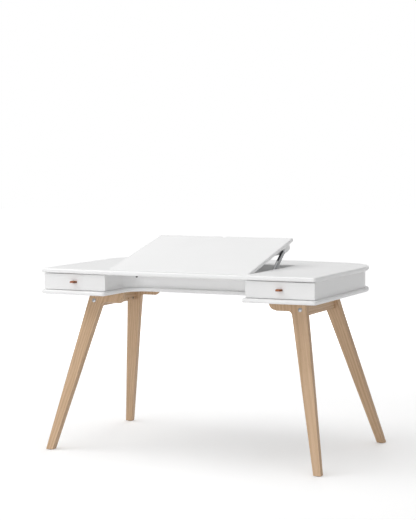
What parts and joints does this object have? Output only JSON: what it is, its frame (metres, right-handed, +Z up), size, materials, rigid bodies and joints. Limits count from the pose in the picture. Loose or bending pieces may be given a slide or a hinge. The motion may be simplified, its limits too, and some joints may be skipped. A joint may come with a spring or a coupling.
{
  "type": "writing desk",
  "caption": "White writing desk with a tilting centre panel over a storage bay, a drawer each side, a knee recess and splayed oak legs.",
  "frame": {"origin": "on the floor under the middle of the desk's bounding box", "axes": "+X to the sitter's right, +Y away from the sitter, +Z up"},
  "size_m": [1.2318, 0.77, 0.8628],
  "materials": {
    "white_lacquer": "satin white lacquer",
    "oak": "matt oiled oak",
    "birch": "clear lacquered plywood",
    "leather": "matt vegetable tanned leather",
    "zinc": "zinc plated",
    "dark_steel": "black satin",
    "dark_plastic": "matt"
  },
  "bodies": {
    "desk": {"top_board": "white_lacquer", "bottom_board": "white_lacquer", "side_wall_left": "white_lacquer", "side_wall_right": "white_lacquer", "back_wall": "white_lacquer", "recess_wall": "white_lacquer", "partition_left": "white_lacquer", "partition_right": "white_lacquer", "divider": "white_lacquer", "wall_caps": "dark_plastic", "hinge_strip_leaves": "zinc", "hinge_pins": "zinc", "stay_plate_left": "zinc", "stay_plate_right": "zinc", "drawer_runners_left": "birch", "drawer_runners_right": "birch", "leg_front_left": "oak", "leg_front_right": "oak", "leg_back_left": "oak", "leg_back_right": "oak", "rail_left": "oak", "rail_right": "oak", "leg_bolts": "zinc", "cross_nuts": "zinc", "frame_screws": "zinc", "foot_glides": "dark_plastic"},
    "panel": {"tilt_panel": "white_lacquer", "batten_left": "white_lacquer", "batten_right": "white_lacquer", "hinge_panel_leaves": "zinc", "stay_pin_left": "zinc", "stay_pin_right": "zinc"},
    "channel_left": {"stay_channel_left": "dark_steel"},
    "rack_left": {"stay_rack_left": "zinc", "stay_stud_left": "zinc"},
    "drawer_left": {"drawer_front_left": "white_lacquer", "drawer_side_inner_left": "birch", "drawer_side_outer_left": "birch", "drawer_back_left": "birch", "drawer_floor_left": "birch", "drawer_pull_left": "leather", "drawer_pin_left": "zinc"},
    "channel_right": {"stay_channel_right": "dark_steel"},
    "rack_right": {"stay_rack_right": "zinc", "stay_stud_right": "zinc"},
    "drawer_right": {"drawer_front_right": "white_lacquer", "drawer_side_inner_right": "birch", "drawer_side_outer_right": "birch", "drawer_back_right": "birch", "drawer_floor_right": "birch", "drawer_pull_right": "leather", "drawer_pin_right": "zinc"}
  },
  "joints": [
    {"name": "panel_tilt", "type": "hinge", "parent": "desk", "child": "panel", "pos_m": [0, -0.328, 0.747], "axis": [1, 0, 0], "range_deg": [-14.4, 10]},
    {"name": "stay_turn_left", "type": "hinge", "parent": "panel", "child": "channel_left", "pos_m": [-0.29975, 0.02641, 0.81425], "axis": [1, 0, 0], "range_deg": [-12.8, 9]},
    {"name": "stay_slide_left", "type": "slide", "parent": "channel_left", "child": "rack_left", "axis": [0, -0.7969, -0.6041], "range_m": [-0.0403, 0.0281]},
    {"name": "drawer_slide_left", "type": "slide", "parent": "desk", "child": "drawer_left", "axis": [0, -1, 0], "range_m": [0, 0.28]},
    {"name": "stay_turn_right", "type": "hinge", "parent": "panel", "child": "channel_right", "pos_m": [0.29975, 0.02641, 0.81425], "axis": [1, 0, 0], "range_deg": [-12.8, 9]},
    {"name": "stay_slide_right", "type": "slide", "parent": "channel_right", "child": "rack_right", "axis": [0, -0.7969, -0.6041], "range_m": [-0.0403, 0.0281]},
    {"name": "drawer_slide_right", "type": "slide", "parent": "desk", "child": "drawer_right", "axis": [0, -1, 0], "range_m": [0, 0.28]}
  ],
  "couplings": [
    {"joint": "stay_turn_left", "follows": "panel_tilt", "ratio": 0.8703},
    {"joint": "stay_slide_left", "follows": "panel_tilt", "m_per_rad": 0.15716},
    {"joint": "stay_turn_right", "follows": "panel_tilt", "ratio": 0.8703},
    {"joint": "stay_slide_right", "follows": "panel_tilt", "m_per_rad": 0.15716}
  ]
}
